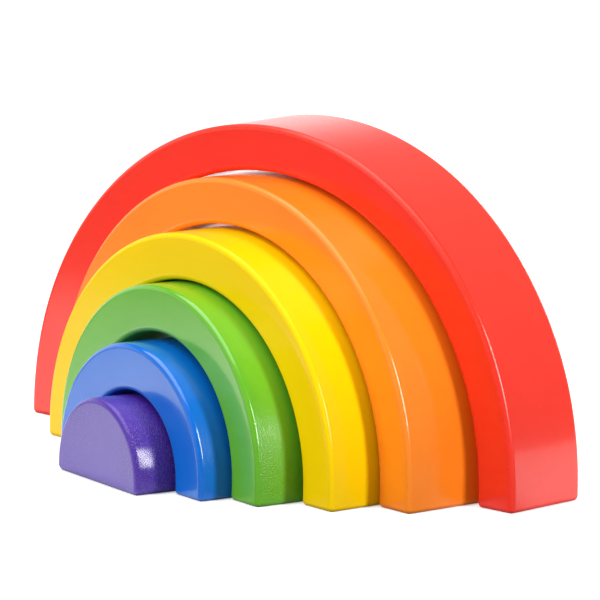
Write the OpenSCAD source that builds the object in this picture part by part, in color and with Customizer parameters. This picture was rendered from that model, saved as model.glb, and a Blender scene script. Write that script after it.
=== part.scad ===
// Rainbow stacker: five wooden arches and a solid half disc that nest inside one another.
// They stand on the table as photographed, each drawn out of the arch around it and turned a little.
// The front of every block faces -Y, the arches span X, and the table is Z = 0.

/* [Blocks] */
// Radius of the purple half disc, which all the arches nest around
purple_radius = 18.9; // [15:0.1:30]
// Straight foot of the purple half disc, below its curve
purple_leg = 2.7; // [1.6:0.1:8]
// Wall of every arch, from its outer to its inner curve
wall = 11.9; // [9:0.1:15]
// Depth of every block, from its front face to its back face
depth = 26; // [22:0.5:34]
// Radius of the rounded edges round the front and back faces
edge_radius = 1.4; // [1:0.1:3]
// Radius of the rounded edges under the feet
foot_radius = 1.2; // [0.8:0.1:2.2]

/* [Room on each side of a block, inside the arch around it] */
// Room beside the orange arch
orange_room = 2.2; // [2.1:0.1:3]
// Room beside the yellow arch
yellow_room = 0.6; // [0.5:0.1:1.5]
// Room beside the green arch
green_room = 1.5; // [1.4:0.1:2.5]
// Room beside the blue arch
blue_room = 0.5; // [0.4:0.1:1.5]
// Room beside the purple half disc
purple_room = 1; // [0.9:0.1:2]

/* [Room over the top of a block, under the arch around it] */
// Room over the orange arch
orange_top_room = 0.9; // [0.8:0.1:1.8]
// Room over the yellow arch
yellow_top_room = 1; // [0.6:0.1:2.4]
// Room over the green arch
green_top_room = 0.6; // [0.5:0.1:1.3]
// Room over the blue arch
blue_top_room = 2.2; // [1:0.1:3.7]
// Room over the purple half disc
purple_top_room = 1.3; // [0.6:0.1:2.9]

/* [How far each block stands out of the arch around it] */
// Step from the red front face to the orange one
orange_step = 11.6; // [2:0.1:20]
// Step from the orange front face to the yellow one
yellow_step = 13.6; // [2:0.1:20]
// Step from the yellow front face to the green one
green_step = 8.8; // [2:0.1:20]
// Step from the green front face to the blue one
blue_step = 8.5; // [2:0.1:20]
// Step from the blue front face to the purple one
purple_step = 9.5; // [2:0.1:20]

/* [How far each block is turned inside the arch around it] */
// Turn of the orange arch in degrees, clockwise seen from above
orange_turn = 6.8; // [0:0.1:6.9]
// Turn of the yellow arch in degrees, clockwise seen from above
yellow_turn = 0.8; // [0:0.1:0.8]
// Turn of the green arch in degrees, clockwise seen from above
green_turn = 4; // [0:0.1:4.1]
// Turn of the blue arch in degrees, clockwise seen from above
blue_turn = 0; // [0:0.1:0.5]
// Turn of the purple half disc in degrees, clockwise seen from above
purple_turn = 2.3; // [0:0.1:2.4]

/* [Hidden] */
$fn = 128;

// Outer radius of each arch, from the block inside it, the room left beside that and its own wall
blue_radius = purple_radius + purple_room + wall;
green_radius = blue_radius + blue_room + wall;
yellow_radius = green_radius + green_room + wall;
orange_radius = yellow_radius + yellow_room + wall;
red_radius = orange_radius + orange_room + wall;

// Straight leg of each arch, so that it leaves the room asked for over the block inside it
blue_leg = purple_leg + purple_top_room - purple_room;
green_leg = blue_leg + blue_top_room - blue_room;
yellow_leg = green_leg + green_top_room - green_room;
orange_leg = yellow_leg + yellow_top_room - yellow_room;
red_leg = orange_leg + orange_top_room - orange_room;

// Direction that each block faces, as an angle about the vertical
orange_angle = -orange_turn;
yellow_angle = orange_angle - yellow_turn;
green_angle = yellow_angle - green_turn;
blue_angle = green_angle - blue_turn;
purple_angle = blue_angle - purple_turn;

// A plan vector turned about the vertical
function turned(v, angle) = [v.x * cos(angle) - v.y * sin(angle), v.x * sin(angle) + v.y * cos(angle)];

// Middle of a block's front face: its axis crosses the axis of the arch around it
// halfway along the stretch in which the two overlap
function front_inside(outer_front, outer_angle, step, angle) =
    outer_front + turned([0, (depth - step) / 2], outer_angle) - turned([0, (depth + step) / 2], angle);

// Fronts of the blocks in plan, counted from the middle of the red front face
orange_front = front_inside([0, 0], 0, orange_step, orange_angle);
yellow_front = front_inside(orange_front, orange_angle, yellow_step, yellow_angle);
green_front = front_inside(yellow_front, yellow_angle, green_step, green_angle);
blue_front = front_inside(green_front, green_angle, blue_step, blue_angle);
purple_front = front_inside(blue_front, blue_angle, purple_step, purple_angle);

// How far a turned block reaches to the front, at its right edge, and to the back, at its left edge
function foremost(front, angle, radius) =
    (front + turned([radius - edge_radius, edge_radius], angle)).y - edge_radius;
function rearmost(front, angle, radius) =
    (front + turned([edge_radius - radius, depth - edge_radius], angle)).y + edge_radius;
row_front = min(
    foremost(orange_front, orange_angle, orange_radius),
    foremost(yellow_front, yellow_angle, yellow_radius),
    foremost(green_front, green_angle, green_radius),
    foremost(blue_front, blue_angle, blue_radius),
    foremost(purple_front, purple_angle, purple_radius));
row_back = max(depth, rearmost(orange_front, orange_angle, orange_radius));
// The red front face stands here, so that the row is centred on the origin
red_front = [0, -(row_front + row_back) / 2];

// The foot rounding meets each face at this small angle
foot_angle = 12;
foot_centre = foot_radius * cos(foot_angle);
// How far a cutting tool reaches past the wood
overshoot = 1;

// A rectangle with rounded corners: x runs through the wall, y through the depth
module rounded_section(width) {
    translate([edge_radius, 0])
        square([width - 2 * edge_radius, depth]);
    translate([0, edge_radius])
        square([width, depth - 2 * edge_radius]);
    for (x = [edge_radius, width - edge_radius], y = [edge_radius, depth - edge_radius])
        translate([x, y])
            circle(edge_radius);
}

// What is taken off one edge under a foot: a square corner less the rounding that stays.
// The face is at x = 0 with the wood at negative x, and the table is at y = 0.
module foot_edge() {
    difference() {
        translate([-foot_centre, -overshoot])
            square([foot_centre + overshoot, foot_centre + overshoot]);
        translate([-foot_centre, foot_centre])
            circle(foot_radius);
    }
}

// Rounding under the front and back faces of a block, along its whole width
module front_and_back_edges(radius) {
    length = 2 * (radius + overshoot);
    translate([0, depth, 0])
        rotate([90, 0, 90])
            linear_extrude(length, center = true)
                foot_edge();
    rotate([90, 0, -90])
        linear_extrude(length, center = true)
            foot_edge();
}

// Rounding under the right-hand side of a wall whose face is at x
module right_edge(x) {
    translate([x, depth / 2, 0])
        rotate([90, 0, 0])
            linear_extrude(depth + 2 * overshoot, center = true)
                foot_edge();
}

// Rounding under the left-hand side of a wall whose face is at x
module left_edge(x) {
    mirror([1, 0, 0])
        right_edge(-x);
}

// An arch on two straight legs, with its front face at y = 0
module arch(radius, leg) {
    inner = radius - wall;
    difference() {
        union() {
            translate([0, depth, leg])
                rotate([90, 0, 0])
                    rotate_extrude(angle = 180)
                        translate([inner, 0])
                            rounded_section(wall);
            for (x = [inner, -radius])
                translate([x, 0, 0])
                    linear_extrude(leg)
                        rounded_section(wall);
        }
        front_and_back_edges(radius);
        right_edge(radius);
        left_edge(inner);
        right_edge(-inner);
        left_edge(-radius);
    }
}

// A solid half disc on a straight foot, with its front face at y = 0
module half_disc(radius, leg) {
    difference() {
        union() {
            translate([0, depth, leg])
                rotate([90, 0, 0])
                    rotate_extrude(angle = 180)
                        intersection() {
                            translate([-radius, 0])
                                rounded_section(2 * radius);
                            square([radius, depth]);
                        }
            translate([-radius, 0, 0])
                linear_extrude(leg)
                    rounded_section(2 * radius);
        }
        front_and_back_edges(radius);
        right_edge(radius);
        left_edge(-radius);
    }
}

// Stands a block where its front and its angle say
module placed(front, angle) {
    translate([red_front.x + front.x, red_front.y + front.y, 0])
        rotate([0, 0, angle])
            children();
}

module red_arch() {
    color([0.96, 0.2, 0.15])
        placed([0, 0], 0)
            arch(red_radius, red_leg);
}

module orange_arch() {
    color([1, 0.52, 0.13])
        placed(orange_front, orange_angle)
            arch(orange_radius, orange_leg);
}

module yellow_arch() {
    color([1, 0.84, 0.05])
        placed(yellow_front, yellow_angle)
            arch(yellow_radius, yellow_leg);
}

module green_arch() {
    color([0.46, 0.75, 0.2])
        placed(green_front, green_angle)
            arch(green_radius, green_leg);
}

module blue_arch() {
    color([0.16, 0.43, 0.8])
        placed(blue_front, blue_angle)
            arch(blue_radius, blue_leg);
}

module purple_half_disc() {
    color([0.36, 0.25, 0.66])
        placed(purple_front, purple_angle)
            half_disc(purple_radius, purple_leg);
}

red_arch();
orange_arch();
yellow_arch();
green_arch();
blue_arch();
purple_half_disc();
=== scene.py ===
import math

import bpy
import numpy as np
from mathutils import Matrix, Vector


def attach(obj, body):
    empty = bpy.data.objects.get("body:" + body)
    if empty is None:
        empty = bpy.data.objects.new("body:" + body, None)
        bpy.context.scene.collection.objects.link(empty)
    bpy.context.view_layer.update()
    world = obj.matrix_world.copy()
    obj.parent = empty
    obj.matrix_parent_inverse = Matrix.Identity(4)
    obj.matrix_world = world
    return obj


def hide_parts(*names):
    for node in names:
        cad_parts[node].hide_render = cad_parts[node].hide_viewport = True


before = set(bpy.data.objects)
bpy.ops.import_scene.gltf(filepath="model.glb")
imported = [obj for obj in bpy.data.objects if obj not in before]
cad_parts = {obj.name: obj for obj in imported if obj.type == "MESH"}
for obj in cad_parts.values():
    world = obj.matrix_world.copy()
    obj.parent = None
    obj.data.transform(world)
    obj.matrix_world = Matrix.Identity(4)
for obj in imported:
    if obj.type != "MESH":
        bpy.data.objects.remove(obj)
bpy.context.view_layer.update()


# The table: white paper that lies to the left of the blocks and behind them, on a duller bench.
# It is matt and keeps the soft shadow of the blocks. The lens sees it as paper white all over. In
# reflections the paper also glows, a painted reflection standing in for lit paper, which ends in a soft edge
# on the left and in front.
TABLE_HALF = 8.0
PAPER_WHITE = (0.9, 0.9, 0.9, 1)
BENCH_GREY = (0.18, 0.18, 0.18, 1)
PAPER_ROUGHNESS = 0.9
PAPER_SHINE = 0.1
# Where the sheet ends, and how wide its soft edges are
SHEET_LEFT = -0.205
LEFT_FADE = 0.12
SHEET_FRONT = -0.127
FRONT_FADE = 0.03
SHEET_BACK = 0.1
BACK_FADE = 0.1
# A painted shade on the bench at the right-front corner, in front of a slanted line: no sheet there for
# reflections and bounce
CORNER_LEFT = -0.02
CORNER_LEFT_FADE = 0.015
CORNER_LINE = 0.84
CORNER_REACH = 0.084
CORNER_FADE = (0.01, 0.026)
# How much light the sheet throws back, and how brightly it glows in reflections only, a painted reflection
# that is stronger in front of the small blocks
SHEET_BOUNCE = 0.42
SHEET_GLOW = 0.92
FRONT_GLOW = 1.35
GLOW_SLANT = 0.3
GLOW_FADE = (0.01, 0.04)
# The glow follows the free share of what is near the sheet, so it fades near the blocks as painted shade
OPEN_REACH = 0.04
OPEN_SHARE = (0.25, 0.8)
# The lift to white for the lens: weak near the blocks, where their shadow lies, and full far away
LIFT_SPAN = (0.3, 2.0)
LIFT_STRENGTH = (0.42, 1.0)

table_mesh = bpy.data.meshes.new("table")
table_mesh.from_pydata(
    [(-TABLE_HALF, -TABLE_HALF, 0), (TABLE_HALF, -TABLE_HALF, 0),
     (TABLE_HALF, TABLE_HALF, 0), (-TABLE_HALF, TABLE_HALF, 0)],
    [], [(0, 1, 2, 3)])
table = bpy.data.objects.new("table", table_mesh)
bpy.context.collection.objects.link(table)


def feed(tree, socket, value):
    """Sets a socket to a number or colour, or links another node's output to it."""
    if isinstance(value, bpy.types.NodeSocket):
        tree.links.new(value, socket)
    else:
        socket.default_value = value


def ramp(tree, value, low, high, out_low, out_high, shape="LINEAR"):
    """Goes from out_low to out_high while the value goes from low to high, and stays there beyond."""
    step = tree.nodes.new("ShaderNodeMapRange")
    step.interpolation_type = shape
    settings = {"Value": value, "From Min": low, "From Max": high, "To Min": out_low, "To Max": out_high}
    for label, setting in settings.items():
        feed(tree, step.inputs[label], setting)
    return step.outputs["Result"]


def maths(tree, operation, first, second):
    """One sum, product or the like of two outputs or numbers."""
    step = tree.nodes.new("ShaderNodeMath")
    step.operation = operation
    feed(tree, step.inputs[0], first)
    feed(tree, step.inputs[1], second)
    return step.outputs[0]


def mix(tree, factor, first, second, kind="FLOAT"):
    """The first value or colour where the factor is 0, the second where it is 1."""
    step = tree.nodes.new("ShaderNodeMix")
    step.data_type = kind
    for label, value in (("Factor", factor), ("A", first), ("B", second)):
        feed(tree, step.inputs[label], value)
    return step.outputs["Result"]


def paper():
    """Matt white paper, lifted to white for the lens. Where the sheet lies open it glows in reflections
    only, a painted reflection that fades near the blocks as painted shade."""
    material = bpy.data.materials.new("table_paper")
    material.use_nodes = True
    tree = material.node_tree
    shader = tree.nodes["Principled BSDF"]
    shader.inputs["Roughness"].default_value = PAPER_ROUGHNESS
    shader.inputs["Specular IOR Level"].default_value = PAPER_SHINE
    ray = tree.nodes.new("ShaderNodeLightPath")
    place = tree.nodes.new("ShaderNodeTexCoord")
    axes = tree.nodes.new("ShaderNodeSeparateXYZ")
    tree.links.new(place.outputs["Object"], axes.inputs[0])
    x, y = axes.outputs["X"], axes.outputs["Y"]

    def soft(value, low, high, out_low=0, out_high=1):
        return ramp(tree, value, low, high, out_low, out_high, "SMOOTHSTEP")

    def calculate(operation, first, second):
        return maths(tree, operation, first, second)

    behind = soft(y, SHEET_BACK, SHEET_BACK + BACK_FADE)
    near = calculate("MULTIPLY", soft(x, SHEET_LEFT - LEFT_FADE, SHEET_LEFT + LEFT_FADE),
                     soft(y, SHEET_FRONT - FRONT_FADE, SHEET_FRONT + FRONT_FADE))
    # The right-front corner loses the sheet: a painted shade on the bench in reflections and in the light it
    # throws back
    slanted = calculate("MULTIPLY", calculate("SUBTRACT", x, CORNER_REACH), CORNER_LINE)
    corner = calculate("MULTIPLY",
                       soft(x, CORNER_LEFT - CORNER_LEFT_FADE, CORNER_LEFT + CORNER_LEFT_FADE),
                       soft(calculate("SUBTRACT", y, slanted), *CORNER_FADE, 1, 0))
    sheet = calculate("MULTIPLY", calculate("MAXIMUM", near, behind), calculate("SUBTRACT", 1.0, corner))
    seen = calculate("MAXIMUM", ray.outputs["Is Camera Ray"], ray.outputs["Is Transmission Ray"])
    whiteness = calculate("MAXIMUM", calculate("MULTIPLY", sheet, SHEET_BOUNCE), seen)
    tree.links.new(mix(tree, whiteness, BENCH_GREY, PAPER_WHITE, "RGBA"), shader.inputs["Base Color"])
    # For reflections the sheet glows, a painted reflection, which fades near the blocks as painted shade
    openness = tree.nodes.new("ShaderNodeAmbientOcclusion")
    openness.inputs["Distance"].default_value = OPEN_REACH
    towards_front = calculate("SUBTRACT", calculate("MULTIPLY", x, GLOW_SLANT), y)
    glow = calculate("MULTIPLY", soft(openness.outputs["AO"], *OPEN_SHARE),
                     soft(towards_front, *GLOW_FADE, SHEET_GLOW, FRONT_GLOW))
    painted_glow = calculate("MULTIPLY", sheet, glow)
    span = tree.nodes.new("ShaderNodeVectorMath")
    span.operation = "LENGTH"
    tree.links.new(place.outputs["Object"], span.inputs[0])
    lift = calculate("ADD",
                     calculate("MULTIPLY", seen, soft(span.outputs["Value"], *LIFT_SPAN, *LIFT_STRENGTH)),
                     calculate("MULTIPLY", ray.outputs["Is Glossy Ray"], painted_glow))
    shader.inputs["Emission Color"].default_value = (1, 1, 1, 1)
    tree.links.new(lift, shader.inputs["Emission Strength"])
    return material


table_mesh.materials.append(paper())


# The red arch: the largest block, at the back. It is sawn from solid wood, its edges are rounded over
# by sanding, and it is sprayed with several coats of glossy lacquer.
DEPTH = 0.026
WALL = 0.0119
EDGE = 0.0014
FOOT = 0.0012
RED_RADIUS = 0.0842
RED_LEG = 0.0029
RED_ANGLE = 0
# How finely the meshes are divided
CORNER_STEPS = 9
SIDE_STEPS = 14
SHIN_STEPS = 4
ARC_STEPS = 145


def srgb(red, green, blue):
    """A colour as seen on a screen, 0 to 255, turned into the linear values that a shader takes."""
    c = np.array([red, green, blue]) / 255.0
    linear = np.where(c <= 0.04045, c / 12.92, ((c + 0.055) / 1.055) ** 2.4)
    return (*linear.tolist(), 1.0)


def rounded_outline(core, normals, inset):
    """Points of a rounded outline: each core point moved out along its normal by the edge radius
    less the inset."""
    return core[None] + (EDGE - inset)[:, None, None] * normals[None]


def section_core(half_wall, half_depth):
    """The rectangle that a rounded section is built on, and the outward normal at each of its points.
    The corners fan out through a right angle, and the sides between them are divided evenly."""
    a = half_wall - EDGE
    b = half_depth - EDGE
    turn = np.linspace(0, math.pi / 2, CORNER_STEPS)
    steps = np.linspace(0, 1, SIDE_STEPS)[1:-1, None]
    corners = [(a, b, -2 * a), (-a, b, -2 * b), (-a, -b, 2 * a), (a, -b, 2 * b)]
    core, normals = [], []
    for k, (cx, cy, along) in enumerate(corners):
        fan = turn + k * math.pi / 2
        core.append(np.broadcast_to([cx, cy], (fan.size, 2)))
        normals.append(np.stack([np.cos(fan), np.sin(fan)], 1))
        side = np.array([[along, 0.0]] if k % 2 == 0 else [[0.0, along]])
        core.append(np.array([[cx, cy]]) + steps * side)
        normals.append(np.broadcast_to(normals[-1][-1], (steps.size, 2)))
    return np.concatenate(core), np.concatenate(normals)


def skin(name, points, normals, masks):
    """A closed mesh from a grid of points whose columns run round the piece: quads between the rows,
    and one flat face over the first and the last row. The normals are the exact ones of the formula.
    The masks mark the rounded edges, the inside of an arch and the flat front and back for the lacquer."""
    rows, columns = points.shape[:2]
    i = np.arange((rows - 1) * columns).reshape(rows - 1, columns)
    j = np.roll(i, -1, axis=1)
    quads = np.stack([i, j, j + columns, i + columns], -1).reshape(-1, 4)
    caps = [list(range(columns - 1, -1, -1)), list(range((rows - 1) * columns, rows * columns))]
    mesh = bpy.data.meshes.new(name)
    mesh.from_pydata(points.reshape(-1, 3).tolist(), [], quads.tolist() + caps)
    for label, values in masks.items():
        mask = mesh.attributes.new(label, "FLOAT", "POINT")
        mask.data.foreach_set("value", values.ravel().astype(np.float32))
    mesh.polygons.foreach_set("use_smooth", np.ones(len(mesh.polygons), dtype=bool))
    mesh.normals_split_custom_set_from_vertices(normals.reshape(-1, 3).tolist())
    mesh.update()
    piece = bpy.data.objects.new(name, mesh)
    bpy.context.collection.objects.link(piece)
    return piece


def stand(points, front, angle):
    """Turns points about the vertical by an angle in degrees and sets the middle of the front face
    at its place in plan."""
    c, s = math.cos(math.radians(angle)), math.sin(math.radians(angle))
    turn = np.array([[c, s, 0], [-s, c, 0], [0, 0, 1]])
    return points @ turn + np.array([front[0], front[1], 0.0])


def nested_arch(name, radius, leg, front, angle):
    """A rounded section carried up the right leg, round the half circle and down the left leg.
    A row is a place along that path; at the two feet the section draws in along a quarter circle."""
    core, normals = section_core(WALL / 2, DEPTH / 2)
    middle = radius - WALL / 2
    bend = np.linspace(0, math.pi / 2, CORNER_STEPS)
    foot_inset = FOOT * (1 - np.sin(bend))
    foot_drop = leg - FOOT * (1 - np.cos(bend))
    foot_lean = math.pi / 2 - bend
    shin_drop = leg - np.linspace(FOOT, leg, SHIN_STEPS)[1:-1]
    arc = np.linspace(0, math.pi, ARC_STEPS)
    flat = np.zeros_like(shin_drop)
    upright = np.zeros(bend.size + flat.size)
    inset = np.concatenate([foot_inset, flat, 0 * arc, flat, foot_inset[::-1]])
    drop = np.concatenate([foot_drop, shin_drop, 0 * arc, shin_drop[::-1], foot_drop[::-1]])
    lean = np.concatenate([foot_lean, flat, 0 * arc, flat, foot_lean[::-1]])[:, None]
    theta = np.concatenate([upright, arc, upright + math.pi])[:, None]
    outline = rounded_outline(core, normals, inset)
    across = middle + outline[..., 0]
    x = across * np.cos(theta)
    y = DEPTH / 2 + outline[..., 1]
    z = leg + across * np.sin(theta) - drop[:, None]
    points = np.stack([x, y, z], -1)
    nx = normals[None, :, 0] * np.cos(theta) * np.cos(lean)
    ny = normals[None, :, 1] * np.cos(lean)
    nz = normals[None, :, 0] * np.sin(theta) * np.cos(lean) - np.sin(lean)
    directions = np.stack([nx, ny, nz], -1)
    corner = 1 - np.abs(np.abs(normals[:, 0]) - np.abs(normals[:, 1]))
    edge = np.maximum(corner[None], np.sin(2 * lean))
    masks = {"edge": edge,
             "inside": np.broadcast_to(np.clip(-normals[:, 0], 0, 1) ** 2, edge.shape),
             "face": np.broadcast_to(normals[:, 1] ** 2, edge.shape)}
    return skin(name, stand(points, front, angle), stand(directions, (0, 0), angle), masks)


# The noises of the coat, as scale and detail: clouds of thicker paint, the plank's grain, dimples, ripples
CLOUDS = (38, 3)
GRAIN = (1, 4)
GRAIN_STRETCH = (26, 420, 420)
DIMPLES = (2800, 1)
RIPPLES = (120, 1)
NOISE_SPAN = (0.3, 0.7)
# How far the thick paint covers in the clouds and along the grain, and the thin paint on the edges
CLOUD_SPAN = (0.35, 0.7)
CLOUD_COVER = (0, 0.55)
GRAIN_SPAN = (0.45, 0.75)
GRAIN_COVER = (0, 0.22)
EDGE_COVER = (0.25, 0.8)
EDGE_WEAR = 0.35
# What is added to the roughness in clouds, in dimples, inside the arches and on edges drawn thin
CLOUD_DULL = (-0.03, 0.05)
DIMPLE_DULL = (-0.04, 0.06)
BARE_MATT = (0, 0.45)
DRAWN_MATT = (0, 0.2)
# The clear film: its weight, and how bare or drawn a place is where none is left
FILM_WEIGHT = 0.5
FILM_BARE_END = 0.6
FILM_DRAWN_END = 0.7
# Heights over the table between which the dimples get shallower, and the depths that are left
SETTLED_HEIGHTS = (0.009, 0.024)
SETTLED_PEEL = (1, 0.2)
FACE_PEEL = (1, 0.06)
RIPPLE_DEPTH = (0, 0.00005)
GRAIN_DEPTH = (0, 0.00001)


def lacquer_group():
    """Sprayed lacquer over sanded wood, as colour, roughness, clear coat and height over the surface.
    Broad clouds of thicker paint, faint grain lines along the plank, paint drawn thin on the rounded
    edges, little clear coat there and inside the arches, and the fine dimples of a sprayed coat on the
    curved sides, which are deepest near the table, where the paint settles."""
    group = bpy.data.node_groups.new("sprayed_lacquer", "ShaderNodeTree")
    inputs = {"Place": "Vector", "Paint": "Color", "Thick": "Color", "Thin": "Color", "Gloss": "Float",
              "Peel": "Float", "Bare": "Float", "Drawn": "Float", "Edge": "Float", "Inside": "Float",
              "Face": "Float"}
    outputs = {"Colour": "Color", "Roughness": "Float", "Coat": "Float", "Height": "Float"}
    for side, sockets in (("INPUT", inputs), ("OUTPUT", outputs)):
        for label, kind in sockets.items():
            group.interface.new_socket(label, in_out=side, socket_type="NodeSocket" + kind)
    nodes, links = group.nodes, group.links
    given = nodes.new("NodeGroupInput").outputs
    result = nodes.new("NodeGroupOutput").inputs

    def noise(scale, detail, stretch=None):
        texture = nodes.new("ShaderNodeTexNoise")
        texture.inputs["Scale"].default_value = scale
        texture.inputs["Detail"].default_value = detail
        place = given["Place"]
        if stretch:
            mapping = nodes.new("ShaderNodeMapping")
            mapping.inputs["Scale"].default_value = stretch
            links.new(place, mapping.inputs["Vector"])
            place = mapping.outputs["Vector"]
        links.new(place, texture.inputs["Vector"])
        return texture.outputs["Fac"]

    def spread(value, low, high, out_low, out_high):
        return ramp(group, value, low, high, out_low, out_high)

    def total(first, second):
        return maths(group, "ADD", first, second)

    def product(first, second):
        return maths(group, "MULTIPLY", first, second)

    clouds = noise(*CLOUDS)
    grain = noise(*GRAIN, GRAIN_STRETCH)
    dimples = noise(*DIMPLES)
    ripples = noise(*RIPPLES)

    thick = total(spread(clouds, *CLOUD_SPAN, *CLOUD_COVER), spread(grain, *GRAIN_SPAN, *GRAIN_COVER))
    painted = mix(group, thick, given["Paint"], given["Thick"], "RGBA")
    worn = product(product(given["Edge"], spread(clouds, *NOISE_SPAN, *EDGE_COVER)), EDGE_WEAR)
    links.new(mix(group, worn, painted, given["Thin"], "RGBA"), result["Colour"])

    dull = total(spread(clouds, *NOISE_SPAN, *CLOUD_DULL), spread(dimples, *NOISE_SPAN, *DIMPLE_DULL))
    bare = product(given["Inside"], given["Bare"])
    drawn = product(given["Edge"], given["Drawn"])
    matt = total(spread(bare, 0, 1, *BARE_MATT), spread(drawn, 0, 1, *DRAWN_MATT))
    links.new(total(total(given["Gloss"], dull), matt), result["Roughness"])
    film = product(spread(bare, 0, FILM_BARE_END, FILM_WEIGHT, 0), spread(drawn, 0, FILM_DRAWN_END, 1, 0))
    links.new(film, result["Coat"])

    axes = nodes.new("ShaderNodeSeparateXYZ")
    links.new(given["Place"], axes.inputs[0])
    settled = product(spread(axes.outputs["Z"], *SETTLED_HEIGHTS, *SETTLED_PEEL),
                      spread(given["Face"], 0, 1, *FACE_PEEL))
    peel = product(dimples, product(given["Peel"], settled))
    waves = total(spread(ripples, 0, 1, *RIPPLE_DEPTH), peel)
    links.new(total(waves, spread(grain, 0, 1, *GRAIN_DEPTH)), result["Height"])
    return group


sprayed_lacquer = lacquer_group()
LACQUER_IOR = 1.5
GLOSS = 0.16
FINE_PEEL = 0.00003


def lacquer(name, paint, thick, thin, gloss, peel, bare, shine=0.5, film=0.06, drawn=0.0):
    """One colour of lacquer: the shared coat feeds a glossy shader under a thin clear film."""
    material = bpy.data.materials.new(name)
    material.use_nodes = True
    nodes, links = material.node_tree.nodes, material.node_tree.links
    shader = nodes["Principled BSDF"]
    coat = nodes.new("ShaderNodeGroup")
    coat.node_tree = sprayed_lacquer
    place = nodes.new("ShaderNodeTexCoord")
    links.new(place.outputs["Object"], coat.inputs["Place"])
    for label in ("Edge", "Inside", "Face"):
        mask = nodes.new("ShaderNodeAttribute")
        mask.attribute_name = label.lower()
        links.new(mask.outputs["Fac"], coat.inputs[label])
    settings = {"Paint": paint, "Thick": thick, "Thin": thin, "Gloss": gloss, "Peel": peel, "Bare": bare,
                "Drawn": drawn}
    for label, setting in settings.items():
        coat.inputs[label].default_value = setting
    bump = nodes.new("ShaderNodeBump")
    bump.inputs["Distance"].default_value = 1.0
    bump.inputs["Strength"].default_value = 1.0
    links.new(coat.outputs["Height"], bump.inputs["Height"])
    links.new(bump.outputs["Normal"], shader.inputs["Normal"])
    links.new(coat.outputs["Colour"], shader.inputs["Base Color"])
    links.new(coat.outputs["Roughness"], shader.inputs["Roughness"])
    links.new(coat.outputs["Coat"], shader.inputs["Coat Weight"])
    shader.inputs["IOR"].default_value = LACQUER_IOR
    shader.inputs["Specular IOR Level"].default_value = shine
    shader.inputs["Coat Roughness"].default_value = film
    return material


red_front = (0.0, 0.0145888)
red = nested_arch("red_block", RED_RADIUS, RED_LEG, red_front, RED_ANGLE)
red.data.materials.append(lacquer(
    "red_lacquer", paint=srgb(247, 50, 30), thick=srgb(239, 41, 22), thin=srgb(250, 66, 46),
    gloss=GLOSS, peel=FINE_PEEL, bare=0.05, drawn=1.0))
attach(red, "red_arch")
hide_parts("red_arch")


# The orange arch: the second block, standing a little way out of the red one and turned in its opening.
# Wood and lacquer are the same as the red arch's; nothing holds it but its weight.
ORANGE_RADIUS = 0.0701
ORANGE_LEG = 0.0042
ORANGE_STEP = 0.0116
ORANGE_ANGLE = -6.8


def drawn_out(outer_front, outer_angle, step, angle):
    """The middle of a block's front face in plan, when it stands a step out of the arch around it:
    its axis crosses that arch's axis halfway along the stretch in which the two overlap."""
    outer, own = math.radians(outer_angle), math.radians(angle)
    deep, ahead = (DEPTH - step) / 2, (DEPTH + step) / 2
    return (outer_front[0] - deep * math.sin(outer) + ahead * math.sin(own),
            outer_front[1] + deep * math.cos(outer) - ahead * math.cos(own))


orange_front = drawn_out(red_front, RED_ANGLE, ORANGE_STEP, ORANGE_ANGLE)
orange = nested_arch("orange_block", ORANGE_RADIUS, ORANGE_LEG, orange_front, ORANGE_ANGLE)
orange.data.materials.append(lacquer(
    "orange_lacquer", paint=srgb(253, 138, 30), thick=srgb(249, 127, 20), thin=srgb(254, 149, 50),
    gloss=GLOSS, peel=FINE_PEEL, bare=0.5, drawn=1.0))
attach(orange, "orange_arch")
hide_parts("orange_arch")


# The yellow arch: the third block, of solid wood and drawn furthest out of the arch around it. It stands
# loose on its feet. Its lacquer is the brightest and shows the shade of the neighbours most.
YELLOW_RADIUS = 0.0576
YELLOW_LEG = 0.0038
YELLOW_STEP = 0.0136
YELLOW_ANGLE = -7.6

yellow_front = drawn_out(orange_front, ORANGE_ANGLE, YELLOW_STEP, YELLOW_ANGLE)
yellow = nested_arch("yellow_block", YELLOW_RADIUS, YELLOW_LEG, yellow_front, YELLOW_ANGLE)
yellow.data.materials.append(lacquer(
    "yellow_lacquer", paint=srgb(250, 209, 4), thick=srgb(245, 200, 2), thin=srgb(253, 217, 26),
    gloss=GLOSS, peel=FINE_PEEL, bare=1.0, shine=0.1, drawn=1.0))
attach(yellow, "yellow_arch")
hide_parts("yellow_arch")


# The green arch: the fourth block, of solid wood, standing loose and close under the top of the yellow one.
# The dark lacquers show the dimples of the sprayed coat in their highlights.
GREEN_RADIUS = 0.0442
GREEN_LEG = 0.0047
GREEN_STEP = 0.0088
GREEN_ANGLE = -11.6

green_front = drawn_out(yellow_front, YELLOW_ANGLE, GREEN_STEP, GREEN_ANGLE)
green = nested_arch("green_block", GREEN_RADIUS, GREEN_LEG, green_front, GREEN_ANGLE)
green.data.materials.append(lacquer(
    "green_lacquer", paint=srgb(104, 181, 41), thick=srgb(91, 170, 31), thin=srgb(120, 192, 58),
    gloss=GLOSS, peel=0.0002, bare=1.0))
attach(green, "green_arch")
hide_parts("green_arch")


# The blue arch: the fifth and smallest arch, of the same wood and lacquer, with the widest gap over it.
# It stands loose and square in the green arch.
BLUE_RADIUS = 0.0318
BLUE_LEG = 0.003
BLUE_STEP = 0.0085
BLUE_ANGLE = -11.6

blue_front = drawn_out(green_front, GREEN_ANGLE, BLUE_STEP, BLUE_ANGLE)
blue = nested_arch("blue_block", BLUE_RADIUS, BLUE_LEG, blue_front, BLUE_ANGLE)
blue.data.materials.append(lacquer(
    "blue_lacquer", paint=srgb(8, 109, 210), thick=srgb(5, 98, 200), thin=srgb(28, 122, 219),
    gloss=GLOSS, peel=0.00004, bare=1.0))
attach(blue, "blue_arch")
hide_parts("blue_arch")


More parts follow.
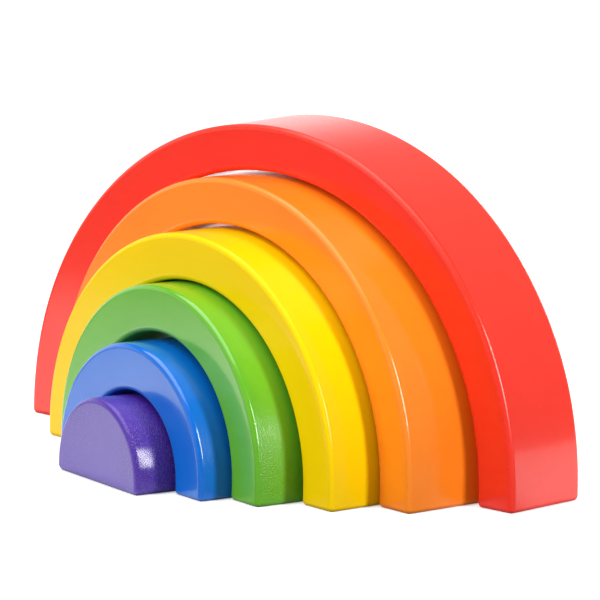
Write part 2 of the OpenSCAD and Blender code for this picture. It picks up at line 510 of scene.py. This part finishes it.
# The purple half disc: the solid core of the set, at the very front, standing loose.
# It is sawn out of the blue arch's opening, and rounded and lacquered like the rest.
PURPLE_RADIUS = 0.0189
PURPLE_LEG = 0.0027
PURPLE_STEP = 0.0095
PURPLE_ANGLE = -13.9
# The corners of the foot are a little rounder than the edges, so that the outline can draw in by an edge
CORNER_EXTRA = 0.0002
CROWN = math.radians(7)
CROWN_WIDTH = 0.0085
TOP_STEPS = 121
TURN_STEPS = 10
UNDER_STEPS = 24
RISE_STEPS = 5


def half_disc(name, radius, leg, front, angle):
    """The outline of a half disc on a short straight foot, carried from the front face over the rim to
    the back. A row is a place across the rim; at the front and back edges the outline draws in along a
    quarter circle. The normals lean out a little towards both edges, because sanding leaves the rim
    slightly crowned."""
    corner = EDGE + CORNER_EXTRA
    inner = radius - corner
    top = np.linspace(0, math.pi, TOP_STEPS)
    right = np.linspace(-math.pi / 2, 0, TURN_STEPS)
    left = np.linspace(math.pi, 1.5 * math.pi, TURN_STEPS)
    under = np.linspace(-1, 1, UNDER_STEPS)[1:-1]
    rise = np.linspace(corner, leg, RISE_STEPS)[1:-1]
    core = np.concatenate([
        np.stack([inner * under, 0 * under + corner], 1),
        np.broadcast_to([inner, corner], (right.size, 2)),
        np.stack([0 * rise + inner, rise], 1),
        np.stack([inner * np.cos(top), leg + inner * np.sin(top)], 1),
        np.stack([0 * rise - inner, rise[::-1]], 1),
        np.broadcast_to([-inner, corner], (left.size, 2))])
    fan = np.concatenate([0 * under - math.pi / 2, right, 0 * rise, top, 0 * rise + math.pi, left])
    normals = np.stack([np.cos(fan), np.sin(fan)], 1)
    bend = np.linspace(0, math.pi / 2, CORNER_STEPS)
    edge_inset = EDGE * (1 - np.sin(bend))
    edge_depth = EDGE * (1 - np.cos(bend))
    rim = np.linspace(EDGE, DEPTH - EDGE, SIDE_STEPS)[1:-1]
    reach = corner - np.concatenate([edge_inset, 0 * rim, edge_inset[::-1]])
    crown = CROWN * np.clip(1 - (rim - EDGE) / CROWN_WIDTH, 0, 1)
    edge_lean = CROWN + (math.pi / 2 - CROWN) * (1 - bend / (math.pi / 2))
    lean = np.concatenate([edge_lean, crown - crown[::-1], -edge_lean[::-1]])[:, None]
    outline = core[None] + reach[:, None, None] * normals[None]
    grid = outline.shape[:2]
    y = np.concatenate([edge_depth, rim, DEPTH - edge_depth[::-1]])[:, None]
    points = np.stack([outline[..., 0], np.broadcast_to(y, grid), outline[..., 1]], -1)
    directions = np.stack([normals[None, :, 0] * np.cos(lean), np.broadcast_to(-np.sin(lean), grid),
                           normals[None, :, 1] * np.cos(lean)], -1)
    edge = np.broadcast_to(np.abs(np.sin(2 * lean)), grid)
    masks = {"edge": edge, "inside": 0 * edge, "face": np.broadcast_to(np.sin(lean) ** 2, grid)}
    return skin(name, stand(points, front, angle)[:, ::-1], stand(directions, (0, 0), angle)[:, ::-1], masks)


purple_front = drawn_out(blue_front, BLUE_ANGLE, PURPLE_STEP, PURPLE_ANGLE)
purple = half_disc("purple_block", PURPLE_RADIUS, PURPLE_LEG, purple_front, PURPLE_ANGLE)
purple.data.materials.append(lacquer(
    "purple_lacquer", paint=srgb(80, 45, 162), thick=srgb(68, 36, 149), thin=srgb(96, 63, 174),
    gloss=0.22, peel=0.0006, bare=1.0, shine=0.42, film=0.18))
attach(purple, "purple_half_disc")
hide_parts("purple_half_disc")


# The light: a white backdrop behind the blocks and a pale wall on the left, in a dim room. A broad soft box
# hangs overhead, a narrow one on the right makes the highlights on the curved sides, a large one in front
# lights the faces without being mirrored, and a weaker one the backs. The lens sees white all round.
ROOM_FILL = 0.14
DIM_ROOM = 0.06
PALE_ROOM = 0.36
# Bounds of the backdrop, of the paler back of the room and of the left wall, as parts of a direction
BACKDROP_HEIGHT = (0.2, 0.5)
BACKDROP_WIDTH = (-0.5, 0.25)
PALE_BACK = (0.42, 0.64)
LEFT_WALL = (-0.95, -0.8)
LEFT_WALL_STRENGTH = 1.1

world = bpy.data.worlds.new("white_room")
bpy.context.scene.world = world
world.use_nodes = True
room = world.node_tree
background = room.nodes["Background"]
background.inputs["Color"].default_value = (1, 1, 1, 1)
direction = room.nodes.new("ShaderNodeTexCoord")
axes = room.nodes.new("ShaderNodeSeparateXYZ")
room.links.new(direction.outputs["Generated"], axes.inputs[0])
backdrop_height = ramp(room, axes.outputs["Z"], *BACKDROP_HEIGHT, 1.0, 0.0)
backdrop = ramp(room, axes.outputs["X"], *BACKDROP_WIDTH, backdrop_height, 0.0)
dim_room = ramp(room, axes.outputs["Y"], *PALE_BACK, DIM_ROOM, PALE_ROOM)
left_wall = ramp(room, axes.outputs["X"], *LEFT_WALL, 1.0, 0.0)
mirrored = mix(room, left_wall, mix(room, backdrop, dim_room, 1.0), LEFT_WALL_STRENGTH)
ray = room.nodes.new("ShaderNodeLightPath")
glossy = mix(room, ray.outputs["Is Glossy Ray"], ROOM_FILL, mirrored)
clear = mix(room, ray.outputs["Is Transmission Ray"], glossy, mirrored)
shown = mix(room, ray.outputs["Is Camera Ray"], clear, 1.0)
room.links.new(shown, background.inputs["Strength"])


def soft_lamp(name, place, aim, width, height, power):
    """A soft box at a place, turned to face its aim."""
    lamp = bpy.data.lights.new(name, "AREA")
    lamp.shape = "RECTANGLE"
    lamp.size = width
    lamp.size_y = height
    lamp.energy = power
    holder = bpy.data.objects.new(name, lamp)
    holder.location = place
    holder.rotation_euler = (Vector(aim) - Vector(place)).to_track_quat("-Z", "Y").to_euler()
    bpy.context.collection.objects.link(holder)
    return holder


soft_lamp("overhead_lamp", place=(-0.16, -0.18, 0.74), aim=(-0.12, -0.12, 0.04),
          width=0.9, height=0.8, power=6.2)
soft_lamp("right_lamp", place=(0.92, 0.11, 0.45), aim=(0, 0, 0.01), width=0.11, height=0.45, power=6.9)
front_lamp = soft_lamp("front_lamp", place=(-0.25, -1.3, 0.6), aim=(0, 0, 0.04),
                       width=1.3, height=0.9, power=14.0)
front_lamp.visible_glossy = False
soft_lamp("back_lamp", place=(0.0, 1.35, 0.45), aim=(0, 0, 0.04), width=0.7, height=0.5, power=8.0)


# The camera: a long lens from the right of the fronts, a little above the blocks and tilted slightly,
# so that the row fills the picture as in the photograph.
LENS_PLACE = (1.281235, -1.369832, 0.397858)
LENS_YAW = 0.7424
LENS_PITCH = 0.1862
LENS_ROLL = 0.0225
FOCAL_PIXELS = 7516.3
PICTURE_PIXELS = 600
SENSOR_WIDTH = 36.0
FARTHEST = 50.0

camera_data = bpy.data.cameras.new("camera")
camera_data.sensor_width = SENSOR_WIDTH
camera_data.lens = FOCAL_PIXELS * SENSOR_WIDTH / PICTURE_PIXELS
camera_data.clip_end = FARTHEST
camera = bpy.data.objects.new("camera", camera_data)
bpy.context.collection.objects.link(camera)
ahead = Vector((-math.sin(LENS_YAW) * math.cos(LENS_PITCH),
                math.cos(LENS_YAW) * math.cos(LENS_PITCH),
                -math.sin(LENS_PITCH)))
across = Vector((math.cos(LENS_YAW), math.sin(LENS_YAW), 0))
above = across.cross(ahead)
right_hand = math.cos(LENS_ROLL) * across + math.sin(LENS_ROLL) * above
upright = -math.sin(LENS_ROLL) * across + math.cos(LENS_ROLL) * above
facing = Matrix((right_hand, upright, -ahead)).transposed().to_4x4()
camera.matrix_world = Matrix.Translation(LENS_PLACE) @ facing
bpy.context.scene.camera = camera

bpy.context.scene.view_settings.view_transform = "Standard"
